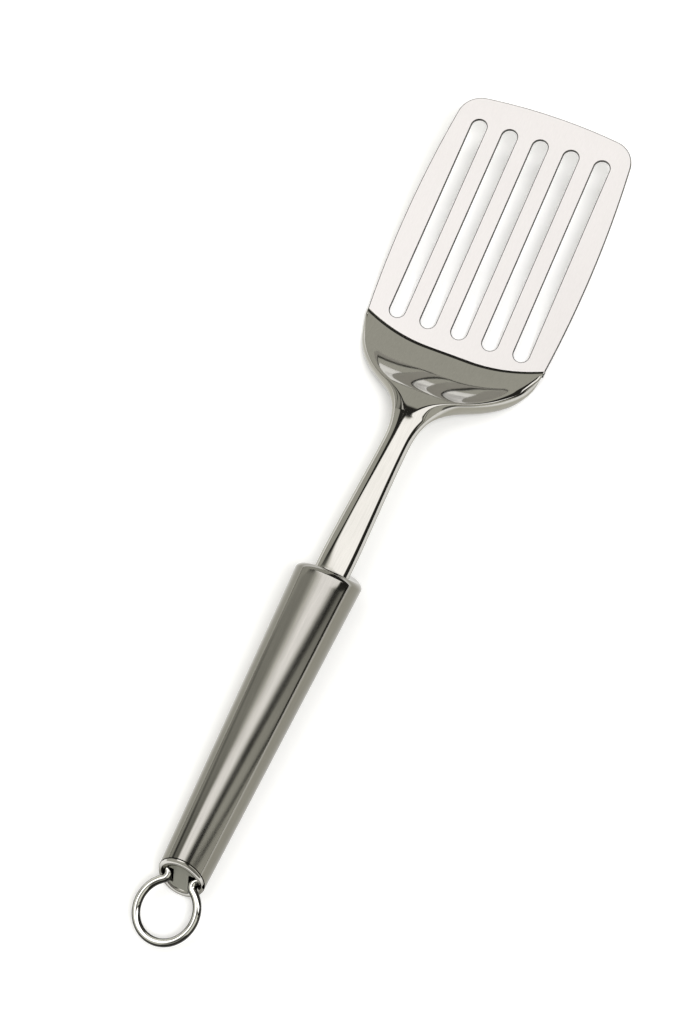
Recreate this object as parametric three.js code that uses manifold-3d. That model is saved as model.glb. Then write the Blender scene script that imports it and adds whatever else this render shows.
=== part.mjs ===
// Slotted turner: a pressed steel blade with a dished shoulder and a channel shank, held in a
// hollow tapered handle, with a wire ring that swings in the handle's tail.
// Millimetres. The tip points along +Y, X is across and Z is up.
import * as THREE from 'three';
import { mergeVertices } from 'three/addons/utils/BufferGeometryUtils.js';
import Module from 'manifold-3d';

// Pressed sheet: flat blade
const SHEET = 1.2;
const BLADE_LENGTH = 97.3;
const BLADE_WIDTH = 71.8;
const WIDEST_AT = 43.5;
const SIDE_RADIUS = 430;
const TIP_RADIUS = 215;
const CORNER_RADIUS = 9;

// Slots
const SLOT_COUNT = 5;
const SLOT_PITCH = 12;
const SLOT_WIDTH = 5.85;
const SLOT_SETBACK = 5.9;
const SLOT_TIP_MARGIN = 10.1;

// Shoulder: from the crease behind the blade, straight in the middle and bowed at both sides, up to
// the waist of the shank
const CREASE_STRAIGHT = 16;
const CREASE_RADIUS = 58;
const SHOULDER_LENGTH = 34;
const SHOULDER_RISE = 21.2;
const SHOULDER_EASE = 9;
const CREASE_SLOPE = 0.33;
const RAMP_LENGTH = 14;
const RAMP_RISE = 5.6;
const RAMP_EASE = 5;
const FLANGE_START = 3;
const FLANGE_RUN = 9;
const FLARE_AT = 20.8;
const FLARE_WIDTH = 33.4;
const FLARE_SLOPE = 1.78;
const FLARE_EASE = 4.4;
const HIP_AT = 10;
const HIP_INSET = 1.7;

// Shank: an arched channel, the sheet's edges rolled down as quarter ellipses
const ROLL_WIDTH = 5.8;
const ROLL_DEPTH = 3.75;
const SHANK_CREST = 1.2;
const WAIST_AT = 42;
const WAIST_WIDTH = 9.8;
const WAIST_EASE = 11;
const SHANK_WIDTH = 12.5;
const SHANK_STRAIGHT = 3;
const TANG_LENGTH = 46;
const TANG_DROP = 0.6;

// Handle shell: a cone, both ends leaning back over its underside
const NECK_BACK = 92.7;
const NECK_HEIGHT = 30.1;
const HANDLE_RISE = THREE.MathUtils.degToRad(9.8);
const HANDLE_LENGTH = 114.5;
const NECK_DIAMETER = 23.5;
const TAIL_DIAMETER = 16.4;
const END_LEAN = Math.tan(THREE.MathUtils.degToRad(22.5));
const NECK_ROUND = 4;
const SHELL_WALL = 0.8;

// Bush in the neck
const BUSH_LENGTH = 14;
const BUSH_SETBACK = 6.6;

// Tail collar and end plate
const BEAD_HEIGHT = 0.9;
const BEAD_WIDTH = 2.3;
const SLEEVE_LENGTH = 9;
const LEDGE = 0.8;
const PLATE_THICKNESS = 0.9;
const PLATE_STANDOUT = 0.7;
const NOTCH_HEIGHT = 6.4;

// Hanging ring
const WIRE = 2.8;
const LOOP_WIDTH = 19.4;
const LOOP_LENGTH = 20.6;
const LOOP_REACH = 12.5;
const LOOP_OPENING = THREE.MathUtils.degToRad(32.5);
const RING_DROOP = THREE.MathUtils.degToRad(6.2);
const HINGE_DEPTH = 1;

// Fits
const SLIP = 0.3;
const CUT = 20;

const wasm = await Module();
wasm.setup();

const neckRadius = NECK_DIAMETER / 2;
const tailRadius = TAIL_DIAMETER / 2;
const boreRadius = tailRadius - BEAD_WIDTH - SLIP / 2;
const handleSlope = Math.tan(HANDLE_RISE);

// Solids

function solid(geometry) {
  const bare = geometry.clone();
  bare.deleteAttribute('normal');
  bare.deleteAttribute('uv');
  const merged = mergeVertices(bare, 1e-4);
  const mesh = new wasm.Mesh({
    numProp: 3,
    vertProperties: new Float32Array(merged.attributes.position.array),
    triVerts: new Uint32Array(merged.index.array),
  });
  return new wasm.Manifold(mesh);
}

function geometryOf(manifold) {
  const mesh = manifold.getMesh();
  const geometry = new THREE.BufferGeometry();
  geometry.setAttribute('position', new THREE.BufferAttribute(mesh.vertProperties, 3));
  geometry.setIndex(new THREE.BufferAttribute(mesh.triVerts, 1));
  geometry.computeVertexNormals();
  return geometry;
}

function prism(shape, depth, curveSegments) {
  return new THREE.ExtrudeGeometry(shape, { depth, curveSegments, bevelEnabled: false });
}

// Moves every vertex along the handle's axis in step with its height, so that an end leans.
function lean(geometry, leanAt) {
  const p = geometry.attributes.position;
  for (let i = 0; i < p.count; i += 1) {
    p.setY(i, p.getY(i) + p.getZ(i) * leanAt(p.getY(i)));
  }
  return geometry;
}

// Joins a grid of surface points and the same grid sunk by the sheet's thickness into one solid.
function thicken(rows, thickness) {
  const nRows = rows.length;
  const nCols = rows[0].length;
  const held = (i, n) => THREE.MathUtils.clamp(i, 0, n - 1);
  const at = (r, c) => rows[held(r, nRows)][held(c, nCols)];
  const top = [];
  const under = [];
  for (let r = 0; r < nRows; r += 1) {
    for (let c = 0; c < nCols; c += 1) {
      const across = at(r, c + 1).clone().sub(at(r, c - 1));
      const along = at(r + 1, c).clone().sub(at(r - 1, c));
      const normal = across.cross(along).normalize();
      top.push(at(r, c));
      under.push(at(r, c).clone().addScaledVector(normal, -thickness));
    }
  }
  const index = [];
  const quad = (a, b, c, d) => index.push(a, b, c, a, c, d);
  const t = (r, c) => r * nCols + c;
  const u = (r, c) => top.length + r * nCols + c;
  for (let r = 0; r < nRows - 1; r += 1) {
    for (let c = 0; c < nCols - 1; c += 1) {
      quad(t(r, c), t(r, c + 1), t(r + 1, c + 1), t(r + 1, c));
      quad(u(r, c), u(r + 1, c), u(r + 1, c + 1), u(r, c + 1));
    }
    quad(t(r, 0), t(r + 1, 0), u(r + 1, 0), u(r, 0));
    quad(t(r, nCols - 1), u(r, nCols - 1), u(r + 1, nCols - 1), t(r + 1, nCols - 1));
  }
  for (let c = 0; c < nCols - 1; c += 1) {
    quad(t(0, c), u(0, c), u(0, c + 1), t(0, c + 1));
    quad(t(nRows - 1, c), t(nRows - 1, c + 1), u(nRows - 1, c + 1), u(nRows - 1, c));
  }
  const geometry = new THREE.BufferGeometry().setFromPoints(top.concat(under));
  geometry.setIndex(index);
  return geometry;
}

// Sheet metal, in the blade's own frame: the crease centre on the top face is the origin

const bow = (x) => Math.max(0, Math.abs(x) - CREASE_STRAIGHT / 2) ** 2 / (2 * CREASE_RADIUS);
const sideAt = (y) => BLADE_WIDTH / 2 - (y - WIDEST_AT) ** 2 / (2 * SIDE_RADIUS);

// Height of the top face along the middle of the sheet, as points (y, z) from the tang to the tip.
function spine() {
  const v = (y, z) => new THREE.Vector2(y, z);
  const axisHeight = (y) => NECK_HEIGHT - TANG_DROP + ROLL_DEPTH + (-NECK_BACK - y) * handleSlope;
  const tangEnd = -NECK_BACK - TANG_LENGTH;
  const neck = v(-NECK_BACK, axisHeight(-NECK_BACK));
  const waist = v(-SHOULDER_LENGTH, SHOULDER_RISE);
  const slope = (neck.y - waist.y) / (waist.x - neck.x);
  const waistSlope = 2 * slope - handleSlope;
  const midY = (waist.x + neck.x) / 2;
  const path = new THREE.CurvePath();
  path.add(new THREE.LineCurve(v(tangEnd, axisHeight(tangEnd)), neck));
  path.add(new THREE.QuadraticBezierCurve(neck, v(midY, axisHeight(midY)), waist));
  const ramp = v(-RAMP_LENGTH, RAMP_RISE);
  const rampSlope = (2 * RAMP_RISE) / RAMP_LENGTH - CREASE_SLOPE;
  path.add(new THREE.CubicBezierCurve(
    waist,
    v(waist.x + SHOULDER_EASE, waist.y - SHOULDER_EASE * waistSlope),
    v(ramp.x - RAMP_EASE, ramp.y + RAMP_EASE * rampSlope),
    ramp,
  ));
  path.add(new THREE.QuadraticBezierCurve(ramp, v(ramp.x / 2, (-ramp.x / 2) * CREASE_SLOPE), v(0, 0)));
  path.add(new THREE.LineCurve(v(0, 0), v(2 * BLADE_LENGTH, 0)));
  return path.curves.flatMap((curve) => curve.getPoints(40));
}

function heightAt(points, y) {
  const i = Math.max(1, points.findIndex((p) => p.x >= y));
  const [a, b] = [points[i - 1], points[i]];
  return a.y + ((b.y - a.y) * (y - a.x)) / (b.x - a.x);
}

// Half the sheet's width along its length, as points (y, x) from the tang to past the tip.
function edgeRail() {
  const v = (y, x) => new THREE.Vector2(y, x);
  const shank = SHANK_WIDTH / 2;
  const waist = WAIST_WIDTH / 2;
  const straight = -NECK_BACK + SHANK_STRAIGHT;
  const corner = sideAt(FLANGE_START);
  const flare = v(-FLARE_AT, FLARE_WIDTH / 2);
  const ease = v(FLARE_EASE, FLARE_EASE * FLARE_SLOPE);
  const path = new THREE.CurvePath();
  path.add(new THREE.LineCurve(v(-NECK_BACK - TANG_LENGTH, shank), v(straight, shank)));
  path.add(new THREE.CubicBezierCurve(
    v(straight, shank), v(straight + WAIST_EASE, shank),
    v(-WAIST_AT - WAIST_EASE, waist), v(-WAIST_AT, waist)));
  path.add(new THREE.CubicBezierCurve(
    v(-WAIST_AT, waist), v(-WAIST_AT + WAIST_EASE, waist), flare.clone().sub(ease), flare));
  path.add(new THREE.CubicBezierCurve(
    flare, flare.clone().add(ease), v(-HIP_AT, corner - HIP_INSET), v(FLANGE_START, corner)));
  const steps = [2, 7, 13, 15];
  const points = path.curves.flatMap((curve, i) => curve.getPoints(steps[i]).slice(i ? 1 : 0));
  const wide = BLADE_WIDTH / 2 + 1;
  for (const past of [0, 1.5, BLADE_LENGTH + 6]) {
    points.push(v(bow(wide) + past, wide));
  }
  return points;
}

const rollAt = (half) => Math.min(ROLL_WIDTH, half - SHANK_CREST / 2);

// One bowed row of the sheet's top face: flat in the middle, its edges rolled down.
function sheetRow(rail, profile) {
  const turned = THREE.MathUtils.clamp((FLANGE_START + 1 - rail.x) / FLANGE_RUN, 0, 1);
  const depth = (ROLL_DEPTH * (1 - Math.cos(turned * Math.PI))) / 2;
  const rowY = rail.x - bow(rail.y);
  const z = heightAt(profile, rowY);
  const roll = rollAt(rail.y);
  const flat = rail.y - roll;
  const half = [];
  for (let i = 0; i <= 4; i += 1) {
    half.push([(flat * i) / 4, 0]);
  }
  for (let i = 1; i <= 7; i += 1) {
    const a = (Math.PI / 2) * (i / 7);
    half.push([flat + roll * Math.sin(a), depth * (1 - Math.cos(a))]);
  }
  const mirrored = half.slice(1).reverse().map(([x, drop]) => [-x, drop]);
  return mirrored.concat(half).map(([x, drop]) => new THREE.Vector3(x, rowY + bow(x), z - drop));
}

function bladeOutline() {
  const shape = new THREE.Shape();
  const wide = BLADE_WIDTH;
  const rear = -NECK_BACK - 2 * TANG_LENGTH;
  const tipCentre = BLADE_LENGTH - TIP_RADIUS;
  const sideCentre = BLADE_WIDTH / 2 - SIDE_RADIUS;
  // centre of a corner arc: inside both the side's and the tip's arcs by its own radius
  const toSide = SIDE_RADIUS - CORNER_RADIUS;
  const toTip = TIP_RADIUS - CORNER_RADIUS;
  const dx = -sideCentre;
  const dy = tipCentre - WIDEST_AT;
  const d = Math.hypot(dx, dy);
  const along = (d * d + toSide * toSide - toTip * toTip) / (2 * d);
  const off = Math.sqrt(toSide * toSide - along * along);
  const cx = sideCentre + (along * dx - off * dy) / d;
  const cy = WIDEST_AT + (along * dy + off * dx) / d;
  const sideEnd = Math.atan2(cy - WIDEST_AT, cx - sideCentre);
  const tipEnd = Math.atan2(cy - tipCentre, cx);
  const sideStart = Math.asin((FLANGE_START - WIDEST_AT) / SIDE_RADIUS);
  shape.moveTo(-wide, rear);
  shape.lineTo(wide, rear);
  shape.lineTo(wide, FLANGE_START);
  shape.absarc(sideCentre, WIDEST_AT, SIDE_RADIUS, sideStart, sideEnd, false);
  shape.absarc(cx, cy, CORNER_RADIUS, sideEnd, tipEnd, false);
  shape.absarc(0, tipCentre, TIP_RADIUS, tipEnd, Math.PI - tipEnd, false);
  shape.absarc(-cx, cy, CORNER_RADIUS, Math.PI - tipEnd, Math.PI - sideEnd, false);
  shape.absarc(-sideCentre, WIDEST_AT, SIDE_RADIUS, Math.PI - sideEnd, Math.PI - sideStart, false);
  shape.lineTo(-wide, FLANGE_START);
  shape.closePath();
  return shape;
}

function slotShape(x) {
  const r = SLOT_WIDTH / 2;
  const shape = new THREE.Shape();
  shape.absarc(x, BLADE_LENGTH - SLOT_TIP_MARGIN - r, r, 0, Math.PI, false);
  shape.absarc(x, SLOT_SETBACK + r, r, Math.PI, 2 * Math.PI, false);
  shape.closePath();
  return shape;
}

function slottedBlade() {
  const profile = spine();
  const sheet = solid(thicken(edgeRail().map((rail) => sheetRow(rail, profile)), SHEET));
  const tall = NECK_HEIGHT + NECK_BACK;
  const trim = prism(bladeOutline(), 2 * tall, 10);
  trim.translate(0, 0, -tall);
  let blade = sheet.intersect(solid(trim));
  for (let i = 0; i < SLOT_COUNT; i += 1) {
    const x = (i - (SLOT_COUNT - 1) / 2) * SLOT_PITCH;
    const slot = prism(slotShape(x), CUT, 10);
    slot.translate(0, 0, -CUT / 2);
    blade = blade.subtract(solid(slot));
  }
  return geometryOf(blade);
}

// Handle, in its own frame: the neck end of its axis is the origin and the tail lies along -Y

// Channel section of the tang, grown all round, swept along the handle's axis as a cutter.
function tangCutter(grow, from, to) {
  const half = SHANK_WIDTH / 2;
  const roll = rollAt(half);
  const flat = half - roll;
  const thin = SHEET + grow;
  const shape = new THREE.Shape();
  shape.moveTo(half + grow, -grow);
  shape.lineTo(half + grow, 0);
  shape.absellipse(flat, 0, roll + grow, ROLL_DEPTH + grow, 0, Math.PI / 2, false);
  shape.lineTo(-flat, ROLL_DEPTH + grow);
  shape.absellipse(-flat, 0, roll + grow, ROLL_DEPTH + grow, Math.PI / 2, Math.PI, false);
  shape.lineTo(-half - grow, -grow);
  shape.lineTo(thin - half, -grow);
  shape.lineTo(thin - half, 0);
  shape.absellipse(-flat, 0, roll - thin, ROLL_DEPTH - thin, Math.PI, Math.PI / 2, true);
  shape.lineTo(flat, ROLL_DEPTH - thin);
  shape.absellipse(flat, 0, roll - thin, ROLL_DEPTH - thin, Math.PI / 2, 0, true);
  shape.lineTo(half - thin, -grow);
  shape.closePath();
  const geometry = prism(shape, from - to, 6);
  geometry.rotateX(Math.PI / 2);
  geometry.translate(0, from, -TANG_DROP);
  return solid(geometry);
}

const outerRadius = (y) => neckRadius + ((tailRadius - neckRadius) * -y) / HANDLE_LENGTH;

function handleShell() {
  const section = new THREE.Path();
  const inside = NECK_ROUND - SHELL_WALL;
  section.moveTo(0, -SHELL_WALL);
  section.lineTo(neckRadius - NECK_ROUND, -SHELL_WALL);
  section.absarc(neckRadius - NECK_ROUND, -NECK_ROUND, inside, Math.PI / 2, 0, true);
  section.lineTo(tailRadius - SHELL_WALL, -HANDLE_LENGTH);
  section.lineTo(tailRadius, -HANDLE_LENGTH);
  section.lineTo(neckRadius, -NECK_ROUND);
  section.absarc(neckRadius - NECK_ROUND, -NECK_ROUND, NECK_ROUND, 0, Math.PI / 2, false);
  section.lineTo(0, 0);
  const shell = new THREE.LatheGeometry(section.getPoints(5), 60);
  lean(shell, (y) => -END_LEAN * (1 + (2 * y) / HANDLE_LENGTH));
  const slot = tangCutter(SLIP, CUT, -NECK_ROUND - BUSH_SETBACK);
  return geometryOf(solid(shell).subtract(slot));
}

function tangBush() {
  const front = -NECK_ROUND - BUSH_SETBACK;
  const rear = front - BUSH_LENGTH;
  const fit = SHELL_WALL + 1.5 * SLIP;
  const section = [
    new THREE.Vector2(0, rear),
    new THREE.Vector2(outerRadius(rear) - fit, rear),
    new THREE.Vector2(outerRadius(front) - fit, front),
    new THREE.Vector2(0, front),
  ];
  const bush = new THREE.LatheGeometry(section, 48);
  return geometryOf(solid(bush).subtract(tangCutter(SLIP, CUT, rear - CUT)));
}

// Depths in the tail are measured back from the seam, towards the tail.
const tailY = (depth) => -HANDLE_LENGTH - depth;
const leanTail = (geometry) => lean(geometry, () => END_LEAN);
const ledgeTop = PLATE_STANDOUT - PLATE_THICKNESS - SLIP;

// Where the ring's loop meets the bends that lead out to its pins.
const joinX = (LOOP_WIDTH / 2) * Math.sin(LOOP_OPENING);
const joinY = (LOOP_LENGTH / 2) * Math.cos(LOOP_OPENING) - LOOP_REACH;
const joinSlope = Math.atan2(
  LOOP_WIDTH * Math.cos(LOOP_OPENING),
  LOOP_LENGTH * Math.sin(LOOP_OPENING),
);
const bend = -joinY / (1 + Math.sin(joinSlope));
const bendX = joinX + bend * Math.cos(joinSlope);
const wireInside = bendX - bend - WIRE / 2;

// Room for the ring's wire at both sides of the tail's mouth.
function mouthNotches(depth) {
  const notch = (side) => {
    const box = new THREE.BoxGeometry(WIRE + 2 * SLIP, depth + CUT, NOTCH_HEIGHT);
    box.translate(side * (wireInside + WIRE / 2), tailY((CUT - depth) / 2), 0);
    return solid(box);
  };
  return notch(-1).add(notch(1));
}

function tailCollar() {
  const sleeve = tailRadius - SHELL_WALL - SLIP;
  const section = new THREE.Path();
  section.moveTo(boreRadius, tailY(ledgeTop));
  section.lineTo(boreRadius, tailY(SLIP));
  const crown = boreRadius + BEAD_WIDTH / 2;
  section.absellipse(crown, tailY(SLIP), BEAD_WIDTH / 2, BEAD_HEIGHT, Math.PI, 0, false);
  section.lineTo(sleeve, tailY(SLIP));
  section.lineTo(sleeve, tailY(-SLEEVE_LENGTH));
  section.lineTo(boreRadius - LEDGE, tailY(-SLEEVE_LENGTH));
  section.lineTo(boreRadius - LEDGE, tailY(ledgeTop));
  section.closePath();
  const collar = leanTail(new THREE.LatheGeometry(section.getPoints(6), 60));
  const holeRadius = WIRE / 2 + 1.5 * SLIP;
  const hole = new THREE.CylinderGeometry(holeRadius, holeRadius, TAIL_DIAMETER + CUT, 24);
  hole.rotateZ(Math.PI / 2);
  hole.translate(0, tailY(-HINGE_DEPTH), 0);
  return geometryOf(solid(collar).subtract(solid(hole)).subtract(mouthNotches(HINGE_DEPTH + WIRE)));
}

// Disc that closes the tail, notched at both sides where the ring's wire goes in.
function endPlate() {
  const r = boreRadius - SLIP;
  const section = [
    new THREE.Vector2(0, tailY(PLATE_STANDOUT)),
    new THREE.Vector2(r, tailY(PLATE_STANDOUT)),
    new THREE.Vector2(r, tailY(PLATE_STANDOUT - PLATE_THICKNESS)),
    new THREE.Vector2(0, tailY(PLATE_STANDOUT - PLATE_THICKNESS)),
  ];
  const plate = solid(leanTail(new THREE.LatheGeometry(section, 48)));
  return geometryOf(plate.subtract(mouthNotches(CUT)));
}

// Hanging ring, in its own frame: the hinge axis is X and the loop lies along -Y

class PlaneArc extends THREE.Curve {
  constructor(ellipse) {
    super();
    this.ellipse = ellipse;
  }

  getPoint(t) {
    const p = this.ellipse.getPoint(t);
    return new THREE.Vector3(p.x, p.y, 0);
  }
}

function hangingRing() {
  const a = LOOP_WIDTH / 2;
  const b = LOOP_LENGTH / 2;
  const pinEnd = tailRadius - SHELL_WALL - 1.5 * SLIP;
  const arc = (x, y, rx, ry, from, to, clockwise) =>
    new PlaneArc(new THREE.EllipseCurve(x, y, rx, ry, from, to, clockwise));
  const v = (x, y) => new THREE.Vector3(x, y, 0);
  const up = Math.PI / 2;
  const path = new THREE.CurvePath();
  path.add(new THREE.LineCurve3(v(pinEnd, 0), v(bendX, 0)));
  path.add(arc(bendX, -bend, bend, bend, up, Math.PI + joinSlope, false));
  path.add(arc(0, -LOOP_REACH, a, b, up - LOOP_OPENING, up + LOOP_OPENING - 2 * Math.PI, true));
  path.add(arc(-bendX, -bend, bend, bend, -joinSlope, up, false));
  path.add(new THREE.LineCurve3(v(-bendX, 0), v(-pinEnd, 0)));
  const wire = new THREE.Shape().absarc(0, 0, WIRE / 2, 0, 2 * Math.PI, false);
  const tube = new THREE.ExtrudeGeometry(wire, { extrudePath: path, steps: 104, curveSegments: 7 });
  return geometryOf(solid(tube));
}

// Assembly

function steel(color, roughness) {
  return new THREE.MeshStandardMaterial({ color, roughness, metalness: 1 });
}

function piece(name, geometry, material) {
  const mesh = new THREE.Mesh(geometry, material);
  mesh.name = name;
  return mesh;
}

const tool = new THREE.Group();
tool.add(piece('slotted_blade', slottedBlade(), steel(0xefecea, 0.3)));

const handle = new THREE.Group();
handle.position.set(0, -NECK_BACK, NECK_HEIGHT);
handle.rotation.x = -HANDLE_RISE;
handle.add(piece('handle_shell', handleShell(), steel(0xb4b0a6, 0.38)));
handle.add(piece('tang_bush', tangBush(), steel(0xa8a8a4, 0.5)));
handle.add(piece('tail_collar', tailCollar(), steel(0xd6d2ca, 0.18)));
handle.add(piece('end_plate', endPlate(), steel(0x8d8d84, 0.4)));
const ring = piece('hanging_ring', hangingRing(), steel(0xe0e0da, 0.12));
ring.position.y = tailY(-HINGE_DEPTH);
ring.rotation.x = RING_DROOP;
handle.add(ring);
tool.add(handle);

// Lets the tool down on its heel and its tail, as it lies on a table.
function lowest(meshes) {
  const p = new THREE.Vector3();
  const low = new THREE.Vector3(0, 0, Infinity);
  for (const mesh of meshes) {
    for (let i = 0; i < mesh.geometry.attributes.position.count; i += 1) {
      p.fromBufferAttribute(mesh.geometry.attributes.position, i).applyMatrix4(mesh.matrixWorld);
      if (p.z < low.z) low.copy(p);
    }
  }
  return low;
}

function settle(front, rear) {
  for (let turn = 0; turn < 12; turn += 1) {
    tool.updateMatrixWorld(true);
    const heel = lowest(front);
    const tail = lowest(rear);
    tool.rotation.x += Math.atan2(tail.z - heel.z, heel.y - tail.y);
  }
  tool.updateMatrixWorld(true);
}

const [shell, , collar] = handle.children;
settle([tool.children[0]], [shell, collar]);
const box = new THREE.Box3().setFromObject(tool, true);
const middle = box.getCenter(new THREE.Vector3());
tool.position.set(-middle.x, -middle.y, -box.min.z);

const part = new THREE.Group();
part.add(tool);

export default part;
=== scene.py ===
import math
from bisect import bisect_left

import bmesh
import bpy
from bpy.props import FloatProperty, FloatVectorProperty, IntProperty, PointerProperty
from mathutils import Matrix, Vector
from mathutils.geometry import interpolate_bezier


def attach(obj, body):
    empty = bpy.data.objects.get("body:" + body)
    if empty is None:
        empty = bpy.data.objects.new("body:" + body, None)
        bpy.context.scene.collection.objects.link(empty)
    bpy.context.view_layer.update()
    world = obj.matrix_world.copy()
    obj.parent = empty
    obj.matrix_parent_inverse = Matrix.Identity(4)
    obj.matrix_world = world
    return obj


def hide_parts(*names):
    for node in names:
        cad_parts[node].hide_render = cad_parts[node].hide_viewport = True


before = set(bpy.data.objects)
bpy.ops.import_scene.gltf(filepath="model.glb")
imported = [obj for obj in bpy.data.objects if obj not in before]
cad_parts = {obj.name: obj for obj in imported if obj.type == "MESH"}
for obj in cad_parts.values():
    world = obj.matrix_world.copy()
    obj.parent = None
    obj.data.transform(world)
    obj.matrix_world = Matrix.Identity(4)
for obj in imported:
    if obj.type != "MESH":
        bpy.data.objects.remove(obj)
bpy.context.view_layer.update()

bl_info = {
    "name": "Slotted Turner",
    "version": (1, 0, 0),
    "blender": (4, 5, 0),
    "location": "View3D > Sidebar > Turner",
    "description": "Builds a steel slotted turner with a dished shoulder and a hanging ring",
    "category": "Object",
}

BODY_OF_TOOL = "turner"
BODY_OF_RING = "ring"

# How far a cutter reaches past what it cuts
CUT = 0.02

# Columns of half a row of the sheet, flat and rolled, and the steps of its outlines
FLAT_STEPS, ROLL_STEPS = 14, 14
SIDE_STEPS, CORNER_STEPS, SLOT_END_STEPS = 48, 16, 20

# Steps round the handle and the collar
ROUND_STEPS = 144

# The rolled edge: its lead before the flange starts, the run in which it narrows there, its least
# share of the full width, and how soon it is fully round
ROLL_LEAD, ROLL_FADE, ROLL_LEAST, ROLL_TURN = 0.001, 0.003, 0.35, 4

# Material slots of the sheet
FLAT_SIDE, POLISHED_SIDE, SHEARED_SIDE = 0, 1, 2

# Wear and grain that all steels share, per metre, the depth of the grain, and the tint of the painted
# shade on the steels' sides
CLOUD_SCALE, SPECK_SCALE, GRAIN_DEPTH = 55.0, 2600.0, 0.0001
SIDE_SHADE_TINT = (1.0, 0.985, 0.88)

# The camera: focal length and picture height in pixels, film height, place and axes
FOCAL_PIXELS, PICTURE_HEIGHT, FILM_HEIGHT = 2239.41, 1022, 36.0
CAMERA_PLACE = (0.17305, -0.28993, 0.69259)
CAMERA_RIGHT = Vector((0.9066, 0.4176, -0.0613))
CAMERA_DOWN = Vector((0.3517, -0.8277, -0.4373))
CAMERA_AHEAD = Vector((-0.2333, 0.3749, -0.8972))


# Sizes and colours a user would change


def length(name, text, default):
    return FloatProperty(name=name, description=text, default=default, unit="LENGTH", precision=5)


def turn(name, text, degrees):
    return FloatProperty(
        name=name, description=text, default=math.radians(degrees), subtype="ANGLE"
    )


def share(name, text, default):
    return FloatProperty(
        name=name, description=text, default=default, min=0.0, max=1.0, subtype="FACTOR"
    )


def tint(name, text, default):
    return FloatVectorProperty(
        name=name, description=text, default=default, min=0.0, max=1.0, size=3, subtype="COLOR"
    )


class TurnerSheet(bpy.types.PropertyGroup):
    """The pressed sheet: blade, shoulder, shank and tang"""

    thickness: length("Sheet", "Thickness of the sheet", 0.0012)
    rim_round: length("Rim rounding", "Rounding of the blade's sheared edges", 0.0003)
    blade_length: length("Blade length", "From the middle of the crease to the tip", 0.0973)
    blade_width: length("Blade width", "Across the widest place", 0.0718)
    widest_at: length("Widest at", "From the crease to the widest place", 0.0435)
    side_radius: length("Side radius", "Bulge of the long sides", 0.430)
    tip_radius: length("Tip radius", "Bulge of the front edge", 0.215)
    corner_radius: length("Corner radius", "Front corners", 0.009)
    slot_count: IntProperty(name="Slots", description="Slots in the blade", default=5, min=1)
    slot_pitch: length("Slot pitch", "From slot to slot", 0.012)
    slot_width: length("Slot width", "Across one slot", 0.00585)
    slot_setback: length("Slot setback", "From the crease to the slots", 0.0059)
    slot_tip_margin: length("Slot tip margin", "From the slots to the tip", 0.0101)
    crease_straight: length("Straight crease", "Straight middle of the crease", 0.016)
    crease_radius: length("Crease radius", "Bow of the crease at both sides", 0.058)
    fold_round: length("Fold rounding", "Half the length over which the crease bends", 0.00012)
    fold_slope: FloatProperty(
        name="Fold slope", description="Rise of the narrow land behind the crease", default=0.254
    )
    fold_fade: FloatProperty(
        name="Fold fade", description="How the fold's slope fades to both ends, per metre", default=0.55
    )
    fold_reach: length("Fold reach", "Width of the narrow land behind the crease", 0.0013)
    fold_blend: length("Fold blend", "Length over which that land runs into the shoulder", 0.0009)
    crease_slope: FloatProperty(
        name="Crease slope", description="Rise of the shoulder just behind the crease", default=0.33
    )
    ramp_length: length("Ramp length", "Length of the shoulder's gentle part", 0.0107)
    ramp_rise: length("Ramp rise", "Height of the shoulder's gentle part", 0.0062)
    ramp_ease: length("Ramp ease", "How softly the ramp steepens", 0.013)
    edge_ramp_length: length("Edge ramp length", "The gentle part, at the flanges' edges", 0.014)
    edge_ramp_rise: length("Edge ramp rise", "Its height at the flanges' edges", 0.0056)
    edge_ramp_ease: length("Edge ramp ease", "How softly the edges steepen", 0.005)
    shoulder_length: length("Shoulder length", "From the crease to the shoulder's top", 0.034)
    shoulder_rise: length("Shoulder rise", "Height of the shoulder's top", 0.0212)
    shoulder_ease: length("Shoulder ease", "How softly the shoulder levels out", 0.016)
    edge_ease: length("Edge ease", "How softly the flanges' edges level out", 0.009)
    flange_start: length("Flange start", "Where the edges begin to roll down", 0.003)
    flange_run: length("Flange run", "Length over which the edges roll down", 0.0085)
    flare_at: length("Flare at", "From the crease to the middle of the flare", 0.0208)
    flare_width: length("Flare width", "Across the middle of the flare", 0.0334)
    flare_slope: FloatProperty(
        name="Flare slope", description="How fast the flare widens", default=1.78
    )
    flare_ease: length("Flare ease", "How softly the flare bends", 0.0044)
    hip_at: length("Hip at", "From the crease to the hip", 0.010)
    hip_inset: length("Hip inset", "How far the hip stays inside the corner", 0.0017)
    roll_width: length("Roll width", "Width of the rolled edge", 0.0063)
    roll_depth: length("Roll depth", "Depth of the rolled edge", 0.00375)
    crest: length("Shank crest", "Flat crest along the shank", 0.0012)
    waist_at: length("Waist at", "From the crease to the waist", 0.042)
    waist_width: length("Waist width", "Across the waist", 0.0098)
    waist_ease: length("Waist ease", "How softly the waist bends", 0.011)
    shank_width: length("Shank width", "Across the shank at the handle", 0.0125)
    shank_straight: length("Straight shank", "Straight length before the handle", 0.003)
    tang_length: length("Tang length", "Length inside the handle", 0.046)
    tang_drop: length("Tang drop", "How far the tang's edges lie below the handle's axis", 0.0006)


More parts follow.
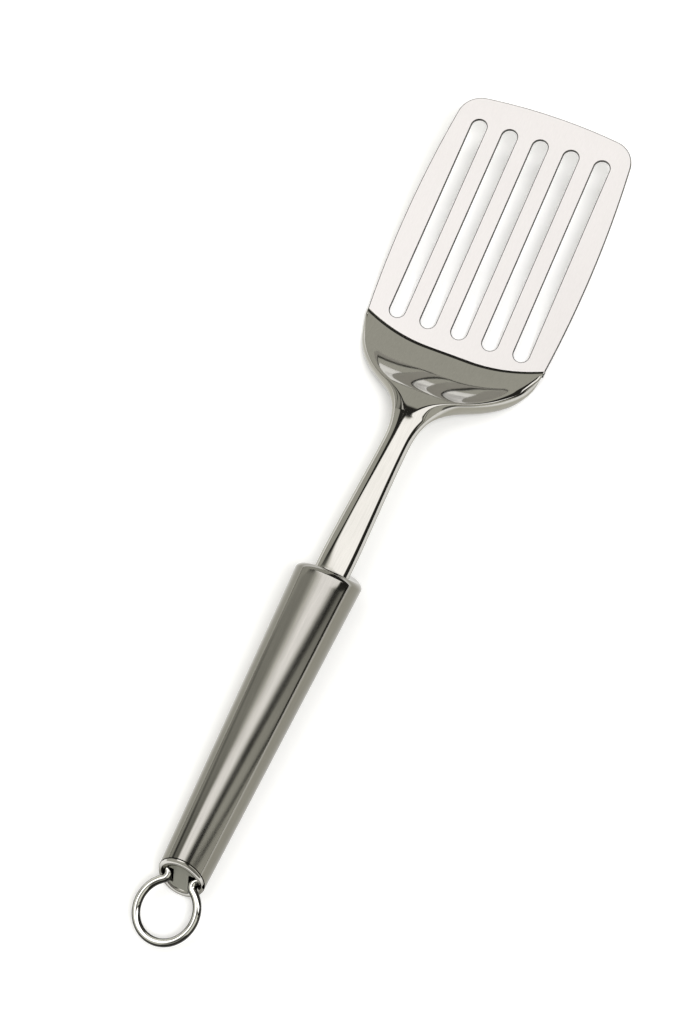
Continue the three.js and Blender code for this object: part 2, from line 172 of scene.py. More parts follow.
class TurnerHandle(bpy.types.PropertyGroup):
    """The hollow handle with its collar and end plate"""

    rest_tilt: turn("Rest tilt", "Tilt of the blade on the table", 11.638989)
    crease_back: length("Crease place", "Place of the crease along the tool", 0.06936877)
    crease_up: length("Crease height", "Height of the crease over the table", 0.00119981)
    neck_back: length("Neck back", "From the crease to the handle", 0.0927)
    neck_height: length("Neck height", "Height of the handle's neck over the blade", 0.0301)
    rise: turn("Handle rise", "Slope of the handle over the blade", 9.8)
    body_length: length("Handle length", "Length of the shell", 0.1145)
    neck_diameter: length("Neck diameter", "Thickness at the neck", 0.02338)
    tail_diameter: length("Tail diameter", "Thickness at the tail", 0.0164)
    end_lean: turn("End lean", "Lean of both ends", 22.5)
    neck_round: length("Neck rounding", "Rounding of the neck's edge", 0.002)
    neck_bow: length("Neck bow", "How far the neck's edge falls back at both sides", 0.002)
    wall: length("Wall", "Wall of the shell", 0.0008)
    bush_setback: length("Bush setback", "From the neck's rounding to the bush", 0.0086)
    bead_height: length("Bead height", "Height of the collar's bead", 0.0009)
    bead_width: length("Bead width", "Width of the collar's bead", 0.0023)
    sleeve_length: length("Sleeve length", "Length of the collar's sleeve", 0.009)
    ledge: length("Ledge", "Ledge under the end plate", 0.0008)
    plate_thickness: length("Plate thickness", "Thickness of the end plate", 0.0009)
    plate_standout: length("Plate standout", "How far the plate stands behind the seam", 0.0007)
    plate_bevel: length("Plate bevel", "Bevel round the end plate", 0.00012)
    notch_height: length("Notch height", "Height of the notches for the wire", 0.0064)
    slip: length("Slip", "Play between fitted pieces", 0.0003)


class TurnerRing(bpy.types.PropertyGroup):
    """The wire ring in the tail"""

    wire: length("Wire", "Thickness of the wire", 0.0028)
    loop_width: length("Loop width", "Across the loop's middle line", 0.0194)
    loop_length: length("Loop length", "Along the loop's middle line", 0.0206)
    loop_reach: length("Loop reach", "From the hinge to the loop's middle", 0.0125)
    loop_opening: turn("Loop opening", "Half the opening of the loop", 32.5)
    droop: turn("Droop", "How far the ring hangs at rest", 6.2)
    hinge_depth: length("Hinge depth", "Depth of the hinge behind the seam", 0.001)
    pin_round: length("Pin rounding", "Rounding of the wire's ends", 0.0003)


class TurnerFinish(bpy.types.PropertyGroup):
    """Colours and gloss of the steels"""

    blade: tint("Blade", "Satin steel of the blade", (0.681, 0.664, 0.670))
    blade_rough: share("Blade roughness", "Satin of the blade", 0.30)
    shoulder: tint("Shoulder", "Polished steel of the shoulder and shank", (0.50, 0.492, 0.47))
    shoulder_rough: share("Shoulder roughness", "Polish of the shoulder", 0.045)
    # The rim's near-black colour is painted shade: the sheared edges and their rounding are darkened to
    # paint dark outlines round the slots and the blade
    rim: tint("Rim", "Sheared edges of the sheet", (0.07, 0.069, 0.064))
    rim_rough: share("Rim roughness", "Finish of the sheared edges", 0.30)
    handle: tint("Handle", "Steel of the handle shell", (0.385, 0.377, 0.358))
    handle_rough: share("Handle roughness", "Satin of the handle", 0.085)
    collar: tint("Collar", "Polished steel of the collar", (0.58, 0.57, 0.55))
    collar_rough: share("Collar roughness", "Polish of the collar", 0.08)
    plate: tint("Plate", "Matt steel of the end plate", (0.24, 0.24, 0.205))
    plate_rough: share("Plate roughness", "Matt of the end plate", 0.42)
    ring: tint("Ring", "Polished wire", (0.92, 0.92, 0.90))
    ring_rough: share("Ring roughness", "Polish of the wire", 0.06)
    bush: tint("Bush", "Turned steel inside the handle", (0.42, 0.42, 0.40))
    bush_rough: share("Bush roughness", "Turned finish of the bush", 0.45)


class TurnerStudio(bpy.types.PropertyGroup):
    """Floor and light"""

    floor: tint("Floor", "Colour of the floor", (0.86, 0.86, 0.86))
    floor_lift: share("Floor lift", "What is added so that the floor shows white", 0.27)
    panel: FloatProperty(name="Panel", description="Light of the panel overhead", default=1.75)
    panel_tint: tint("Panel tint", "Colour of the panel's light", (1.0, 0.98, 0.955))
    wall_tint: tint("Wall tint", "Colour of the light from the walls", (1.0, 0.985, 0.865))
    room: FloatProperty(name="Room", description="Light of the room's dark parts", default=0.03)
    key: FloatProperty(name="Key", description="Watts of the lamp at the right", default=31.0)
    key_size: length("Key size", "Width of that lamp", 1.0)
    key_place: FloatVectorProperty(
        name="Key place", description="Where that lamp hangs", default=(0.932, -0.718, 2.092),
        size=3, subtype="TRANSLATION",
    )


GROUPS = {
    "turner_sheet": TurnerSheet,
    "turner_handle": TurnerHandle,
    "turner_ring": TurnerRing,
    "turner_finish": TurnerFinish,
    "turner_studio": TurnerStudio,
}


# Places: the blade's own frame has its origin in the middle of the crease


def blade_place():
    h = bpy.context.scene.turner_handle
    return Matrix.Translation((0, h.crease_back, h.crease_up)) @ Matrix.Rotation(
        h.rest_tilt, 4, "X"
    )


def handle_place():
    h = bpy.context.scene.turner_handle
    return (
        blade_place()
        @ Matrix.Translation((0, -h.neck_back, h.neck_height))
        @ Matrix.Rotation(-h.rise, 4, "X")
    )


def ring_place():
    h, r = bpy.context.scene.turner_handle, bpy.context.scene.turner_ring
    return (
        handle_place()
        @ Matrix.Translation((0, r.hinge_depth - h.body_length, 0))
        @ Matrix.Rotation(r.droop, 4, "X")
    )


# Small bmesh helpers


def chain(bm, points):
    """Vertices joined by edges, one after the other."""
    made = [bm.verts.new(p) for p in points]
    for a, b in zip(made, made[1:]):
        bm.edges.new((a, b))
    return made


def sweep(bm, vert, centre, axis, angle, steps):
    """An arc drawn by spinning one vertex; gives its vertices from first to last."""
    seen = set(bm.verts)
    bmesh.ops.spin(
        bm, geom=[vert], cent=centre, axis=axis, dvec=(0, 0, 0), angle=angle, steps=steps
    )
    fresh = {v for v in bm.verts if v not in seen}
    path = [vert]
    while fresh:
        last = path[-1]
        ahead = next(e.other_vert(last) for e in last.link_edges if e.other_vert(last) in fresh)
        fresh.discard(ahead)
        path.append(ahead)
    return path


def edges_between(verts, closed=False):
    pairs = list(zip(verts, verts[1:]))
    if closed:
        pairs.append((verts[-1], verts[0]))
    return [next(e for e in a.link_edges if e.other_vert(a) is b) for a, b in pairs]


def turned(bm, section, steps):
    """Spins a section about the handle's axis into a closed body."""
    verts = list(section)
    edges = list({e for v in verts for e in v.link_edges})
    bmesh.ops.spin(
        bm, geom=verts + edges, cent=(0, 0, 0), axis=(0, 1, 0), dvec=(0, 0, 0),
        angle=math.tau, steps=steps, use_merge=True,
    )
    bmesh.ops.remove_doubles(bm, verts=bm.verts[:], dist=2e-6)
    bmesh.ops.dissolve_degenerate(bm, edges=bm.edges[:], dist=1e-7)
    bmesh.ops.recalc_face_normals(bm, faces=bm.faces[:])


def slant(bm, slope_at):
    for v in bm.verts:
        v.co.y += v.co.z * slope_at(v.co.y)


def sharp_edges(bm, sharp):
    return [e for e in bm.edges if len(e.link_faces) == 2 and e.calc_face_angle(0.0) > sharp]


def round_edges(bm, edges, offset, segments):
    made = bmesh.ops.bevel(
        bm, geom=edges, offset=offset, offset_type="OFFSET", affect="EDGES",
        segments=segments, profile=0.5, material=-1, clamp_overlap=False,
    )
    return made["faces"]


def to_object(bm, name, place):
    bmesh.ops.transform(bm, matrix=place, verts=bm.verts[:])
    mesh = bpy.data.meshes.new(name)
    bm.to_mesh(mesh)
    bm.free()
    made = bpy.data.objects.new(name, mesh)
    bpy.context.scene.collection.objects.link(made)
    return made


def cut_away(piece, cutter):
    """Takes the cutter's shape out of the piece and removes the cutter."""
    cut = piece.modifiers.new("cut", "BOOLEAN")
    cut.operation = "DIFFERENCE"
    cut.solver = "EXACT"
    cut.object = cutter
    bpy.context.view_layer.update()
    seen = piece.evaluated_get(bpy.context.evaluated_depsgraph_get())
    mesh = bpy.data.meshes.new_from_object(seen)
    piece.modifiers.clear()
    old = piece.data
    piece.data = mesh
    mesh.name = piece.name
    bpy.data.meshes.remove(old)
    old = cutter.data
    bpy.data.objects.remove(cutter)
    bpy.data.meshes.remove(old)


def smooth_but_sharp(piece, degrees):
    piece.data.shade_smooth()
    piece.data.set_sharp_from_angle(angle=math.radians(degrees))


def dress(piece, body, node, slot, *materials):
    for m in materials:
        piece.data.materials.append(m)
    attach(piece, body)
    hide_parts(node)


# Steel finishes


class Nodes:
    """Short names for making and linking the nodes of one tree."""

    def __init__(self, tree):
        self.tree = tree
        tree.nodes.clear()

    def add(self, kind, **values):
        node = self.tree.nodes.new(kind)
        for key, value in values.items():
            if hasattr(node, key):
                setattr(node, key, value)
            else:
                node.inputs[key.replace("_", " ")].default_value = value
        return node

    def link(self, a, b):
        self.tree.links.new(a, b)

    def math(self, operation, a, b=None, c=None):
        node = self.tree.nodes.new("ShaderNodeMath")
        node.operation = operation
        for socket, value in zip(node.inputs, (a, b, c)):
            if value is None:
                continue
            if isinstance(value, bpy.types.NodeSocket):
                self.link(value, socket)
            else:
                socket.default_value = value
        return node.outputs[0]

    def step(self, value, low, high):
        return self.spread(value, low, high, 0.0, 1.0, "SMOOTHSTEP")

    def spread(self, value, low, high, to_low, to_high, kind="LINEAR"):
        node = self.tree.nodes.new("ShaderNodeMapRange")
        node.interpolation_type = kind
        self.link(value, node.inputs["Value"])
        node.inputs["From Min"].default_value = low
        node.inputs["From Max"].default_value = high
        node.inputs["To Min"].default_value = to_low
        node.inputs["To Max"].default_value = to_high
        return node.outputs["Result"]

    def noise(self, vector, scale, detail, roughness):
        node = self.tree.nodes.new("ShaderNodeTexNoise")
        self.link(vector, node.inputs["Vector"])
        node.inputs["Scale"].default_value = scale
        node.inputs["Detail"].default_value = detail
        node.inputs["Roughness"].default_value = roughness
        return node.outputs["Fac"]

    def stretched(self, vector, turn_x, scale):
        node = self.tree.nodes.new("ShaderNodeMapping")
        self.link(vector, node.inputs["Vector"])
        node.inputs["Rotation"].default_value = (turn_x, 0, 0)
        node.inputs["Scale"].default_value = scale
        return node.outputs["Vector"]


def steel(name, colour, rough, tilt, grain, streak=0.05, cloud=0.04, bump=0.03, painted_side_shade=None):
    """Steel with drawn lines along the piece, cloudy wear and fine grain.

    The last argument, when given, is (shaded share, low, high, lean) and paints shade on the piece's
    sides:
    where the normal's height, plus lean times its x, is under low the steel has that share of its
    colour, and over high all of it. This painted shade stands in for dark reflections.
    """
    made = bpy.data.materials.new(name)
    made.use_nodes = True
    n = Nodes(made.node_tree)
    out = n.add("ShaderNodeOutputMaterial")
    shader = n.add("ShaderNodeBsdfPrincipled", Metallic=1.0)
    n.link(shader.outputs[0], out.inputs["Surface"])
    coords = n.add("ShaderNodeTexCoord").outputs
    place = coords["Object"]
    lines = n.noise(n.stretched(place, -tilt, grain), 1.0, 4.0, 0.6)
    clouds = n.noise(place, CLOUD_SCALE, 3.0, 0.55)
    specks = n.noise(place, SPECK_SCALE, 2.0, 0.5)
    worn = n.math(
        "ADD", n.spread(lines, 0.25, 0.75, -streak, streak), n.spread(clouds, 0.3, 0.7, -cloud, cloud)
    )
    light = n.add("ShaderNodeMix", data_type="RGBA", blend_type="MULTIPLY")
    light.inputs["Factor"].default_value = 1.0
    light.inputs["A"].default_value = (*colour, 1)
    shade = n.math("ADD", n.math("MULTIPLY", worn, 0.6), 1.0)
    # Painted shade: where the normal turns from up to the side, the base colour keeps only a share of
    # itself, standing in for dark reflections
    if painted_side_shade:
        shaded_share, low, high, lean = painted_side_shade
        facing = n.add("ShaderNodeSeparateXYZ")
        n.link(coords["Normal"], facing.inputs[0])
        up = n.math("MULTIPLY_ADD", facing.outputs["X"], lean, facing.outputs["Z"])
        unshaded = n.step(up, low, high)
    grey = n.add("ShaderNodeCombineColor")
    for socket, warm in zip(grey.inputs, SIDE_SHADE_TINT):
        if painted_side_shade:
            kept = n.math("MULTIPLY_ADD", unshaded, 1.0 - shaded_share * warm, shaded_share * warm)
            n.link(n.math("MULTIPLY", shade, kept), socket)
        else:
            n.link(shade, socket)
    n.link(grey.outputs[0], light.inputs["B"])
    n.link(light.outputs["Result"], shader.inputs["Base Color"])
    n.link(n.math("MULTIPLY", n.math("ADD", worn, 1.0), rough), shader.inputs["Roughness"])
    height = n.math("ADD", n.math("MULTIPLY", lines, 0.7), n.math("MULTIPLY", specks, 0.3))
    relief = n.add("ShaderNodeBump", Strength=bump, Distance=GRAIN_DEPTH)
    n.link(height, relief.inputs["Height"])
    n.link(relief.outputs[0], shader.inputs["Normal"])
    return made


# Shape of the sheet, in the blade's frame


def bow(x):
    s = bpy.context.scene.turner_sheet
    return max(0.0, abs(x) - s.crease_straight / 2) ** 2 / (2 * s.crease_radius)


def side_at(y):
    s = bpy.context.scene.turner_sheet
    return s.blade_width / 2 - (y - s.widest_at) ** 2 / (2 * s.side_radius)


def bezier(a, b, c, d, count):
    flat = [Vector((*p, 0)) for p in (a, b, c, d)]
    return [(p.x, p.y) for p in interpolate_bezier(*flat, count)]


def parabola(a, b, c, count):
    a, b, c = Vector(a), Vector(b), Vector(c)
    return bezier(a, a.lerp(b, 2 / 3), c.lerp(b, 2 / 3), c, count)


def spine(ramp_length, ramp_rise, ramp_ease, shoulder_ease):
    """Height of the top face along the tool, as (y, z) from the tang to the crease."""
    s, h = bpy.context.scene.turner_sheet, bpy.context.scene.turner_handle
    grade = math.tan(h.rise)

    def axis_height(y):
        return h.neck_height - s.tang_drop + s.roll_depth + (-h.neck_back - y) * grade

    end = -h.neck_back - s.tang_length
    neck = (-h.neck_back, axis_height(-h.neck_back))
    waist = (-s.shoulder_length, s.shoulder_rise)
    slope = (neck[1] - waist[1]) / (waist[0] - neck[0])
    waist_slope = 2 * slope - grade
    mid = (waist[0] + neck[0]) / 2
    ramp = (-ramp_length, ramp_rise)
    ramp_slope = 2 * ramp_rise / ramp_length - s.crease_slope
    points = [(end, axis_height(end)), neck]
    points += parabola(neck, (mid, axis_height(mid)), waist, 60)[1:]
    points += bezier(
        waist,
        (waist[0] + shoulder_ease, waist[1] - shoulder_ease * waist_slope),
        (ramp[0] - ramp_ease, ramp[1] + ramp_ease * ramp_slope),
        ramp, 120,
    )[1:]
    points += parabola(ramp, (ramp[0] / 2, -ramp[0] / 2 * s.crease_slope), (0, 0), 60)[1:]
    return points


def clamped(value):
    return min(max(value, 0.0), 1.0)


def smooth_step(t):
    return t * t * (3 - 2 * t)


def along(points, y):
    """Height of a spine at one place along the tool."""
    i = min(max(1, bisect_left(points, y, key=lambda p: p[0])), len(points) - 1)
    (ya, za), (yb, zb) = points[i - 1], points[i]
    return za + (zb - za) * (y - ya) / (yb - ya)


def height_at(points, x, y):
    """Height of the top face: flat blade, tight fold with its narrow land, then the spine."""
    s = bpy.context.scene.turner_sheet
    c = s.fold_round
    slope = s.fold_slope - s.fold_fade * abs(x)
    if y > c:
        return 0.0
    if y > -c:
        return slope * (c - y) ** 2 / (4 * c)
    land = -slope * y
    if y > -s.fold_reach:
        return land
    t = min(1.0, (-s.fold_reach - y) / s.fold_blend)
    return land + (along(points, y) - land) * smooth_step(t)


def edge_rail():
    """(y, half width) of the rows, from just in front of the crease back to the tang's end."""
    s, h = bpy.context.scene.turner_sheet, bpy.context.scene.turner_handle
    shank, waist = s.shank_width / 2, s.waist_width / 2
    straight = -h.neck_back + s.shank_straight
    corner = side_at(s.flange_start)
    last = s.flange_start - bow(corner)
    rows = []
    c = s.fold_round
    places = [10 * c, 2.5 * c, c, 0.5 * c, 0, -0.5 * c, -c]
    places += [-s.fold_reach * k for k in (0.4, 0.75, 1.0)]
    places += [-s.fold_reach - s.fold_blend * k for k in (0.22, 0.5, 0.78, 1.05)]
    for at in (*places, last):
        half = corner
        for _ in range(12):
            half = side_at(at + bow(half))
        rows.append((at + bow(half), half))
    flare = Vector((-s.flare_at, s.flare_width / 2))
    ease = Vector((s.flare_ease, s.flare_ease * s.flare_slope))
    rows += bezier(
        (s.flange_start, corner), (-s.hip_at, corner - s.hip_inset), flare + ease, flare, 34
    )[1:]
    rows += bezier(
        flare, flare - ease, (-s.waist_at + s.waist_ease, waist), (-s.waist_at, waist), 30
    )[1:]
    rows += bezier(
        (-s.waist_at, waist), (-s.waist_at - s.waist_ease, waist),
        (straight + s.waist_ease, shank), (straight, shank), 24,
    )[1:]
    rows += [(-h.neck_back, shank), (-h.neck_back - s.tang_length, shank)]
    return rows


def across(rail, col, deeper):
    """(x, drop) of one column of a row: flat in the middle, the edge rolled down.

    deeper is what the roll adds to its own depth, so that its edge stays on the edge's spine.
    """
    s = bpy.context.scene.turner_sheet
    y, half = rail
    rolled = clamped((s.flange_start + ROLL_LEAD - y) / s.flange_run)
    depth = (s.roll_depth + deeper) * math.sin(rolled * math.pi / 2)
    ahead = clamped((y - s.flange_start) / ROLL_FADE)
    spread = ROLL_LEAST + (1 - ROLL_LEAST) * max(rolled, smooth_step(ahead))
    roll = min(s.roll_width, half - s.crest / 2) * spread
    flat = half - roll
    side = -1 if col < 0 else 1
    col = abs(col)
    if col <= FLAT_STEPS:
        return side * flat * col / FLAT_STEPS, 0.0
    u = (col - FLAT_STEPS) / ROLL_STEPS
    a = u * math.pi / 2
    out = u + (math.sin(a) - u) * min(1.0, ROLL_TURN * rolled)
    return side * (flat + roll * out), depth * (1 - math.cos(a))


def blade_outline(bm, first, last):
    """Draws the blade's sides, corners and tip from one end of the crease row to the other."""
    s = bpy.context.scene.turner_sheet
    tip_centre = s.blade_length - s.tip_radius
    side_centre = s.blade_width / 2 - s.side_radius
    to_side, to_tip = s.side_radius - s.corner_radius, s.tip_radius - s.corner_radius
    dx, dy = -side_centre, tip_centre - s.widest_at
    d = math.hypot(dx, dy)
    reach = (d * d + to_side**2 - to_tip**2) / (2 * d)
    off = math.sqrt(to_side**2 - reach**2)
    cx = side_centre + (reach * dx - off * dy) / d
    cy = s.widest_at + (reach * dy + off * dx) / d
    side_end = math.atan2(cy - s.widest_at, cx - side_centre)
    tip_end = math.atan2(cy - tip_centre, cx)
    up = (0, 0, 1)
    start = math.atan2(first.co.y - s.widest_at, first.co.x - side_centre)
    side_turn, corner_turn = side_end - start, tip_end - side_end
    path = [first]
    for centre, angle, steps in (
        ((side_centre, s.widest_at, 0), side_turn, SIDE_STEPS),
        ((cx, cy, 0), corner_turn, CORNER_STEPS),
        ((0, tip_centre, 0), math.pi - 2 * tip_end, SIDE_STEPS),
        ((-cx, cy, 0), corner_turn, CORNER_STEPS),
        ((-side_centre, s.widest_at, 0), side_turn, SIDE_STEPS),
    ):
        path += sweep(bm, path[-1], centre, up, angle, steps)[1:]
    bmesh.ops.weld_verts(bm, targetmap={path[-1]: last})
    path[-1] = last
    return path


def slot_outline(bm, x):
    """Draws one round-ended slot."""
    s = bpy.context.scene.turner_sheet
    r = s.slot_width / 2
    far, near = s.blade_length - s.slot_tip_margin - r, s.slot_setback + r
    up = (0, 0, 1)
    path = sweep(bm, bm.verts.new((x + r, far, 0)), (x, far, 0), up, math.pi, SLOT_END_STEPS)
    path.append(bm.verts.new((x - r, near, 0)))
    bm.edges.new(path[-2:])
    path += sweep(bm, path[-1], (x, near, 0), up, math.pi, SLOT_END_STEPS)[1:]
    bm.edges.new((path[-1], path[0]))
    return path


def band_beside(bm, path, closed, width):
    """Lays a narrow band of faces along an outline, on its left; gives the band's other side."""
    n = len(path)
    shift = {}
    for i, v in enumerate(path):
        a = path[i - 1] if closed or i > 0 else v
        b = path[(i + 1) % n] if closed or i < n - 1 else v
        run = (b.co - a.co).normalized()
        shift[v] = Vector((-run.y, run.x, 0)) * width
    made = bmesh.ops.extrude_edge_only(bm, edges=edges_between(path, closed))["geom"]
    fresh = {v for v in made if isinstance(v, bmesh.types.BMVert)}
    inner = []
    for v in path:
        twin = next(e.other_vert(v) for e in v.link_edges if e.other_vert(v) in fresh)
        twin.co = v.co + shift[v]
        inner.append(twin)
    return inner


class TURNER_OT_blade(bpy.types.Operator):
    """Press the sheet: slotted blade, dished shoulder, rolled flanges, shank and tang"""

    bl_idname = "turner.blade"
    bl_label = "Blade and Shank"

    def execute(self, context):
        s, f = context.scene.turner_sheet, context.scene.turner_finish
        bm = bmesh.new()
        rails = edge_rail()
        crest = spine(s.ramp_length, s.ramp_rise, s.ramp_ease, s.shoulder_ease)
        edge = spine(s.edge_ramp_length, s.edge_ramp_rise, s.edge_ramp_ease, s.edge_ease)
        half_cols = FLAT_STEPS + ROLL_STEPS
        cols, rows = 2 * half_cols, len(rails) - 1
        bmesh.ops.create_grid(bm, x_segments=cols, y_segments=rows, size=1.0)
        front, flat = {}, set()
        for v in bm.verts:
            col = round((v.co.x + 1) / 2 * cols) - half_cols
            row = rows - round((v.co.y + 1) / 2 * rows)
            rail = rails[row]
            row_y = rail[0] - bow(rail[1])
            deeper = along(crest, row_y) - along(edge, row_y) if row_y < 0 else 0.0
            x, drop = across(rail, col, deeper)
            v.co = (x, row_y + bow(x), height_at(crest, x, row_y) - drop)
            if row == 0:
                front[col] = v
            if row_y > -s.fold_round:
                flat.add(v)
        for face in bm.faces:
            face.smooth = True
            face.material_index = FLAT_SIDE if flat.issuperset(face.verts) else POLISHED_SIDE
        # flat blade in front of the crease
        band = s.roll_width / ROLL_STEPS
        path = blade_outline(bm, front[half_cols], front[-half_cols])
        inner = band_beside(bm, path, False, band)
        bmesh.ops.weld_verts(
            bm, targetmap={inner[0]: front[half_cols - 1], inner[-1]: front[1 - half_cols]}
        )
        inner[0], inner[-1] = front[half_cols - 1], front[1 - half_cols]
        rim = edges_between(inner)
        rim += edges_between([front[c] for c in range(1 - half_cols, half_cols)])
        for i in range(s.slot_count):
            loop = slot_outline(bm, (i - (s.slot_count - 1) / 2) * s.slot_pitch)
            loop.reverse()
            rim += edges_between(band_beside(bm, loop, True, band), True)
        bmesh.ops.triangle_fill(bm, edges=rim, use_beauty=True, normal=(0, 0, 1))
        bmesh.ops.recalc_face_normals(bm, faces=bm.faces[:])
        if sum(face.normal.z * face.calc_area() for face in bm.faces) < 0:
            bmesh.ops.reverse_faces(bm, faces=bm.faces[:])
        skin = set(bm.verts)
        bmesh.ops.solidify(bm, geom=bm.faces[:], thickness=s.thickness)
        bmesh.ops.recalc_face_normals(bm, faces=bm.faces[:])
        for face in bm.faces:
            if len({v in skin for v in face.verts}) == 2:
                face.material_index = SHEARED_SIDE
        # The rounded rims take the near-black sheared-edge steel, a painted shade that draws a dark
        # outline round the slots and the blade
        rims = sharp_edges(bm, math.radians(50))
        wide = [e for e in rims if any(c.material_index == FLAT_SIDE for c in e.link_faces)]
        for face in round_edges(bm, wide, s.rim_round, 3):
            face.material_index = SHEARED_SIDE
        for face in bm.faces:
            if face.material_index == FLAT_SIDE:
                face.smooth = abs(face.normal.z) < 0.9999
        piece = to_object(bm, "blade_and_shank", blade_place())
        tilt = context.scene.turner_handle.rest_tilt
        satin = steel("satin_blade", f.blade, f.blade_rough, tilt, (2600, 60, 2600))
        # Painted shade: the rolled flanges' outer faces are darkened to about half their colour,
        # standing in for dark reflections
        polish = steel(
            "polished_shoulder", f.shoulder, f.shoulder_rough, tilt, (1800, 90, 1800),
            streak=0.08, bump=0.004, painted_side_shade=(0.58, 0.40, 0.60, 0.25),
        )
        # Sheared edges: rougher steel, with a near-black colour that is painted shade
        sheared = steel(
            "sheared_edge_painted_shade", f.rim, f.rim_rough, tilt, (900, 900, 900), streak=0.15, cloud=0.1
        )
        dress(piece, BODY_OF_TOOL, "slotted_blade", "blade_steel", satin, polish, sheared)
        return {"FINISHED"}


# Handle, in its own frame: the tail lies along -Y


def channel_cutter(grow, start, stop):
    """The tang's arched section, grown all round, drawn out along the handle's axis."""
    s = bpy.context.scene.turner_sheet
    half = s.shank_width / 2
    roll = min(s.roll_width, half - s.crest / 2)
    flat = half - roll
    thin = s.thickness + grow
    bm = bmesh.new()

    def arch(width, depth, low):
        quarter = [
            (flat + width * math.cos(a), depth * math.sin(a))
            for a in (math.pi / 2 * i / 16 for i in range(17))
        ]
        left = [(-x, z) for x, z in reversed(quarter)]
        return [(flat + width, low), *quarter, *left, (-flat - width, low)]

    outer = arch(roll + grow, s.roll_depth + grow, -grow)
    inner = arch(roll - thin, s.roll_depth - thin, -grow)
    ring = [bm.verts.new((x, start, z - s.tang_drop)) for x, z in outer + inner[::-1]]
    face = bm.faces.new(ring)
    made = bmesh.ops.extrude_face_region(bm, geom=[face])["geom"]
    moved = [v for v in made if isinstance(v, bmesh.types.BMVert)]
    bmesh.ops.translate(bm, verts=moved, vec=(0, stop - start, 0))
    bmesh.ops.recalc_face_normals(bm, faces=bm.faces[:])
    return to_object(bm, "channel_cutter", handle_place())


class TURNER_OT_handle(bpy.types.Operator):
    """Turn the hollow tapered handle and cut the opening for the shank"""

    bl_idname = "turner.handle"
    bl_label = "Handle Shell"

    def execute(self, context):
        h, f = context.scene.turner_handle, context.scene.turner_finish
        neck, tail = h.neck_diameter / 2, h.tail_diameter / 2
        lean = math.tan(h.end_lean)
        inside = h.neck_round - h.wall
        hub = neck - h.neck_round
        across_axis = (0, 0, 1)
        bm = bmesh.new()
        section = chain(bm, [(0, -h.wall, 0), (hub, -h.wall, 0)])
        section += sweep(
            bm, section[-1], (hub, -h.neck_round, 0), across_axis, -math.pi / 2, 12
        )[1:]
        inner_end = bm.verts.new((tail - h.wall, -h.body_length, 0))
        long_edges = [bm.edges.new((section[-1], inner_end))]
        section.append(inner_end)
        outer = chain(bm, [(0, 0, 0), (hub, 0, 0)])
        outer += sweep(bm, outer[-1], (hub, -h.neck_round, 0), across_axis, -math.pi / 2, 20)[1:]
        outer_end = bm.verts.new((tail, -h.body_length, 0))
        long_edges.append(bm.edges.new((outer[-1], outer_end)))
        bm.edges.new((inner_end, outer_end))
        bmesh.ops.subdivide_edges(bm, edges=long_edges, cuts=28)
        turned(bm, bm.verts[:], ROUND_STEPS)
        for v in bm.verts:
            near = max(0.0, 1 + v.co.y / neck)
            v.co.y -= h.neck_bow * near * (v.co.x / neck) ** 2
        slant(bm, lambda y: -lean * (1 + 2 * y / h.body_length))
        piece = to_object(bm, "handle_shell_skin", handle_place())
        cut_away(piece, channel_cutter(h.slip, CUT, -h.neck_round - h.bush_setback))
        smooth_but_sharp(piece, 38)
        tilt = h.rest_tilt - h.rise
        # Painted shade: the handle's sides are darkened to about half their colour, standing in for
        # darker reflections
        satin = steel(
            "satin_handle", f.handle, f.handle_rough, tilt, (1500, 26, 1500),
            streak=0.10, cloud=0.05, bump=0.02, painted_side_shade=(0.52, 0.64, 0.76, 0.13),
        )
        dress(piece, BODY_OF_TOOL, "handle_shell", "handle_steel", satin)
        return {"FINISHED"}


def loop_join():
    """The bends between the loop and its pins: their radius, centre and the loop's slope there."""
    r = bpy.context.scene.turner_ring
    join_x = r.loop_width / 2 * math.sin(r.loop_opening)
    join_y = r.loop_length / 2 * math.cos(r.loop_opening) - r.loop_reach
    slope = math.atan2(
        r.loop_width * math.cos(r.loop_opening), r.loop_length * math.sin(r.loop_opening)
    )
    bend = -join_y / (1 + math.sin(slope))
    bend_x = join_x + bend * math.cos(slope)
    return bend, bend_x, slope


def tail_cutter(depth):
    """Notches for the wire at both sides of the tail's mouth."""
    h, r = bpy.context.scene.turner_handle, bpy.context.scene.turner_ring
    bend, bend_x, _ = loop_join()
    middle = bend_x - bend
    bm = bmesh.new()
    for side in (-1, 1):
        at = Matrix.Translation((side * middle, -h.body_length - (CUT - depth) / 2, 0))
        size = Matrix.Diagonal((r.wire + 2 * h.slip, depth + CUT, h.notch_height, 1))
        bmesh.ops.create_cube(bm, size=1.0, matrix=at @ size)
    return to_object(bm, "tail_cutter", handle_place())


